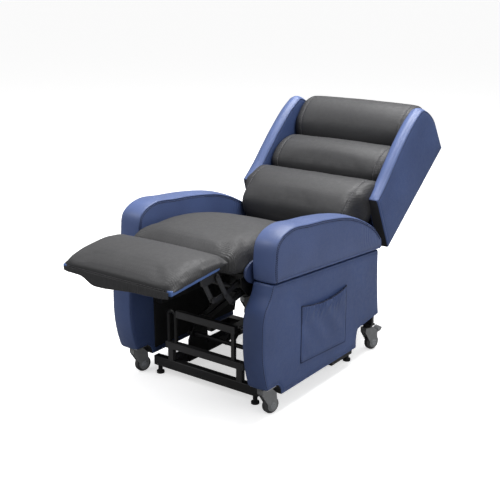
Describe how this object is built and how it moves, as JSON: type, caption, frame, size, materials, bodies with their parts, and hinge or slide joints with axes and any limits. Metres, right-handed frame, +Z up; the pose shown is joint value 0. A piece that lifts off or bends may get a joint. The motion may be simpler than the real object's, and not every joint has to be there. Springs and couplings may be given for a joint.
{
  "type": "lift recliner chair",
  "caption": "Upholstered lift recliner armchair on castors, shown fully reclined with the legrest raised, with winged roll-cushion back and lifting base frame.",
  "frame": {"origin": "on the floor under the middle of the fully reclined chair", "axes": "+X towards the sitter's left, the sitter faces -Y, +Z up"},
  "size_m": [0.732, 1.7467, 0.9908],
  "materials": {
    "blue_vinyl": "semi-matt upholstery vinyl",
    "blue_arm_vinyl": "semi-matt upholstery vinyl",
    "blue_board_vinyl": "semi-matt upholstery vinyl",
    "charcoal_vinyl": "soft matt stretch vinyl",
    "black_lining": "matt non-woven lining",
    "black_frame": "satin black powder coat",
    "link_steel": "satin dark grey paint",
    "castor_fork_plastic": "mid grey moulded nylon",
    "brake_pedal_plastic": "mid grey moulded nylon",
    "castor_tyre": "dark grey rubber",
    "castor_plate_steel": "zinc plated",
    "foot_rubber": "black rubber",
    "motor_housing_plastic": "matt black moulded plastic",
    "actuator_rod_steel": "bright steel"
  },
  "bodies": {
    "base": {"base_side_rails": "black_frame", "base_front_bar": "black_frame", "base_rear_bar": "black_frame", "base_outriggers": "black_frame", "base_feet": "foot_rubber", "base_posts": "black_frame", "base_cross_bars": "black_frame", "base_hoop": "black_frame", "lift_pivot_plates": "black_frame"},
    "lift_front_link": {"lift_front_link": "black_frame"},
    "lift_rear_link": {"lift_rear_link": "black_frame"},
    "lift_motor": {"lift_motor": "motor_housing_plastic"},
    "lift_rod": {"lift_rod": "actuator_rod_steel"},
    "chassis": {"chassis_rails": "black_frame", "chassis_cross_tube": "black_frame", "inner_linings": "black_lining", "rear_lining": "black_lining", "side_panel_left": "blue_vinyl", "side_panel_right": "blue_vinyl", "arm_pad_left": "blue_arm_vinyl", "arm_pad_right": "blue_arm_vinyl", "side_pocket": "blue_vinyl", "front_castor_plates": "castor_plate_steel", "rear_castor_brackets": "black_frame"},
    "tilt_motor": {"tilt_motor": "motor_housing_plastic"},
    "tilt_rod": {"tilt_rod": "actuator_rod_steel"},
    "seat": {"seat_side_plates": "black_frame", "seat_cross_tubes": "black_frame", "seat_deck": "black_lining", "seat_cushion": "charcoal_vinyl", "seat_cheeks": "blue_vinyl"},
    "back": {"back_plates": "black_frame", "back_shell": "blue_vinyl", "back_roll_upper": "charcoal_vinyl", "back_roll_middle": "charcoal_vinyl", "back_roll_lower": "charcoal_vinyl", "wing_left": "blue_vinyl", "wing_right": "blue_vinyl"},
    "back_motor": {"back_motor": "motor_housing_plastic"},
    "back_rod": {"back_rod": "actuator_rod_steel"},
    "legrest_cross_link": {"legrest_cross_link": "link_steel"},
    "legrest_long_link": {"legrest_long_links": "link_steel"},
    "legrest_front_link": {"legrest_front_links": "link_steel"},
    "legrest_rear_link": {"legrest_rear_links": "link_steel"},
    "legrest_board": {"legrest_brackets": "link_steel", "legrest_board": "blue_board_vinyl", "legrest_pad": "charcoal_vinyl", "legrest_flap": "black_lining"},
    "legrest_motor": {"legrest_motor": "motor_housing_plastic"},
    "legrest_rod": {"legrest_rod": "actuator_rod_steel"},
    "castor_fl": {"castor_fork_fl": "castor_fork_plastic"},
    "castor_wheel_fl": {"castor_wheel_fl": "castor_tyre"},
    "castor_fr": {"castor_fork_fr": "castor_fork_plastic"},
    "castor_wheel_fr": {"castor_wheel_fr": "castor_tyre"},
    "castor_rl": {"castor_fork_rl": "castor_fork_plastic"},
    "castor_wheel_rl": {"castor_wheel_rl": "castor_tyre"},
    "brake_pedal_rl": {"brake_pedal_rl": "brake_pedal_plastic"},
    "castor_rr": {"castor_fork_rr": "castor_fork_plastic"},
    "castor_wheel_rr": {"castor_wheel_rr": "castor_tyre"},
    "brake_pedal_rr": {"brake_pedal_rr": "brake_pedal_plastic"}
  },
  "joints": [
    {"name": "lift", "type": "hinge", "parent": "base", "child": "lift_front_link", "pos_m": [0, -0.24535, 0.135], "axis": [1, 0, 0], "range_deg": [0, 58]},
    {"name": "chassis_tilt", "type": "hinge", "parent": "lift_front_link", "child": "chassis", "pos_m": [0, 0.02645, 0.1975], "axis": [1, 0, 0], "range_deg": [-37.94, 0]},
    {"name": "lift_rear_link_pivot", "type": "hinge", "parent": "base", "child": "lift_rear_link", "pos_m": [0, -0.19935, 0.1854], "axis": [1, 0, 0], "range_deg": [0, 52.45]},
    {"name": "lift_motor_pivot", "type": "hinge", "parent": "base", "child": "lift_motor", "pos_m": [0, 0.27465, 0.08], "axis": [1, 0, 0], "range_deg": [-1.86, 0]},
    {"name": "lift_rod_slide", "type": "slide", "parent": "lift_motor", "child": "lift_rod", "axis": [0, -0.9802, 0.1981], "range_m": [0, 0.0599]},
    {"name": "seat_tilt", "type": "hinge", "parent": "chassis", "child": "seat", "pos_m": [0, 0.11465, 0.405], "axis": [1, 0, 0], "range_deg": [0, 8]},
    {"name": "tilt_motor_pivot", "type": "hinge", "parent": "chassis", "child": "tilt_motor", "pos_m": [0.165, 0.27465, 0.24], "axis": [1, 0, 0], "range_deg": [0, 3.74]},
    {"name": "tilt_rod_slide", "type": "slide", "parent": "tilt_motor", "child": "tilt_rod", "axis": [0, -0.9138, 0.4061], "range_m": [-0.01302, 0]},
    {"name": "back_recline", "type": "hinge", "parent": "seat", "child": "back", "pos_m": [0, 0.15465, 0.47], "axis": [1, 0, 0], "range_deg": [0, 32]},
    {"name": "back_motor_pivot", "type": "hinge", "parent": "seat", "child": "back_motor", "pos_m": [0.09, -0.28535, 0.44], "axis": [1, 0, 0], "range_deg": [0, 2]},
    {"name": "back_rod_slide", "type": "slide", "parent": "back_motor", "child": "back_rod", "axis": [0, 0.9978, -0.0664], "range_m": [0, 0.03155]},
    {"name": "legrest", "type": "hinge", "parent": "seat", "child": "legrest_cross_link", "pos_m": [0, -0.45755, 0.5003], "axis": [1, 0, 0], "range_deg": [0, 81.1]},
    {"name": "legrest_long_link_pivot", "type": "hinge", "parent": "legrest_cross_link", "child": "legrest_long_link", "pos_m": [0, -0.55245, 0.4753], "axis": [1, 0, 0], "range_deg": [-87.82, 0]},
    {"name": "legrest_board_pivot", "type": "hinge", "parent": "legrest_long_link", "child": "legrest_board", "pos_m": [0, -0.59935, 0.557], "axis": [1, 0, 0], "range_deg": [0, 87.82]},
    {"name": "legrest_front_link_pivot", "type": "hinge", "parent": "legrest_board", "child": "legrest_front_link", "pos_m": [0, -0.65835, 0.552], "axis": [1, 0, 0], "range_deg": [-87.82, 0]},
    {"name": "legrest_rear_link_pivot", "type": "hinge", "parent": "seat", "child": "legrest_rear_link", "pos_m": [0, -0.41685, 0.4591], "axis": [1, 0, 0], "range_deg": [0, 81.95]},
    {"name": "legrest_motor_pivot", "type": "hinge", "parent": "seat", "child": "legrest_motor", "pos_m": [-0.09, 0.06465, 0.45], "axis": [1, 0, 0], "range_deg": [-0.55734, 0]},
    {"name": "legrest_rod_slide", "type": "slide", "parent": "legrest_motor", "child": "legrest_rod", "axis": [0, -0.9993, 0.037], "range_m": [-0.0491, 0]},
    {"name": "castor_swivel_fl", "type": "hinge", "parent": "chassis", "child": "castor_fl", "pos_m": [-0.316, -0.44535, 0.1], "axis": [0, 0, 1], "continuous": true},
    {"name": "castor_roll_fl", "type": "hinge", "parent": "castor_fl", "child": "castor_wheel_fl", "pos_m": [-0.30766, -0.41967, 0.0325], "axis": [0.9511, -0.309, 0], "continuous": true},
    {"name": "castor_swivel_fr", "type": "hinge", "parent": "chassis", "child": "castor_fr", "pos_m": [0.316, -0.44535, 0.1], "axis": [0, 0, 1], "continuous": true},
    {"name": "castor_roll_fr", "type": "hinge", "parent": "castor_fr", "child": "castor_wheel_fr", "pos_m": [0.32434, -0.41967, 0.0325], "axis": [0.9511, -0.309, 0], "continuous": true},
    {"name": "castor_swivel_rl", "type": "hinge", "parent": "chassis", "child": "castor_rl", "pos_m": [-0.32, 0.29965, 0.1], "axis": [0, 0, 1], "continuous": true},
    {"name": "castor_roll_rl", "type": "hinge", "parent": "castor_rl", "child": "castor_wheel_rl", "pos_m": [-0.31166, 0.32533, 0.0325], "axis": [0.9511, -0.309, 0], "continuous": true},
    {"name": "brake_pedal_rl", "type": "hinge", "parent": "castor_rl", "child": "brake_pedal_rl", "pos_m": [-0.3098, 0.33104, 0.076], "axis": [0.9511, -0.309, 0], "range_deg": [-10, 0]},
    {"name": "castor_swivel_rr", "type": "hinge", "parent": "chassis", "child": "castor_rr", "pos_m": [0.32, 0.29965, 0.1], "axis": [0, 0, 1], "continuous": true},
    {"name": "castor_roll_rr", "type": "hinge", "parent": "castor_rr", "child": "castor_wheel_rr", "pos_m": [0.32834, 0.32533, 0.0325], "axis": [0.9511, -0.309, 0], "continuous": true},
    {"name": "brake_pedal_rr", "type": "hinge", "parent": "castor_rr", "child": "brake_pedal_rr", "pos_m": [0.3302, 0.33104, 0.076], "axis": [0.9511, -0.309, 0], "range_deg": [-10, 0]}
  ],
  "couplings": [
    {"joint": "chassis_tilt", "follows": "lift", "ratio": -0.64138},
    {"joint": "lift_rear_link_pivot", "follows": "lift", "ratio": 0.88662},
    {"joint": "lift_motor_pivot", "follows": "lift", "ratio": -0.031359},
    {"joint": "lift_rod_slide", "follows": "lift", "m_per_rad": 0.058013},
    {"joint": "tilt_motor_pivot", "follows": "seat_tilt", "ratio": 0.45824},
    {"joint": "tilt_rod_slide", "follows": "seat_tilt", "m_per_rad": -0.091431},
    {"joint": "back_motor_pivot", "follows": "back_recline", "ratio": 0.061241},
    {"joint": "back_rod_slide", "follows": "back_recline", "m_per_rad": 0.055386},
    {"joint": "legrest_long_link_pivot", "follows": "legrest", "ratio": -1.0617},
    {"joint": "legrest_board_pivot", "follows": "legrest", "ratio": 1.0617},
    {"joint": "legrest_front_link_pivot", "follows": "legrest", "ratio": -1.0617},
    {"joint": "legrest_rear_link_pivot", "follows": "legrest", "ratio": 0.99066},
    {"joint": "legrest_motor_pivot", "follows": "legrest", "ratio": -0.006738},
    {"joint": "legrest_rod_slide", "follows": "legrest", "m_per_rad": -0.034009}
  ]
}
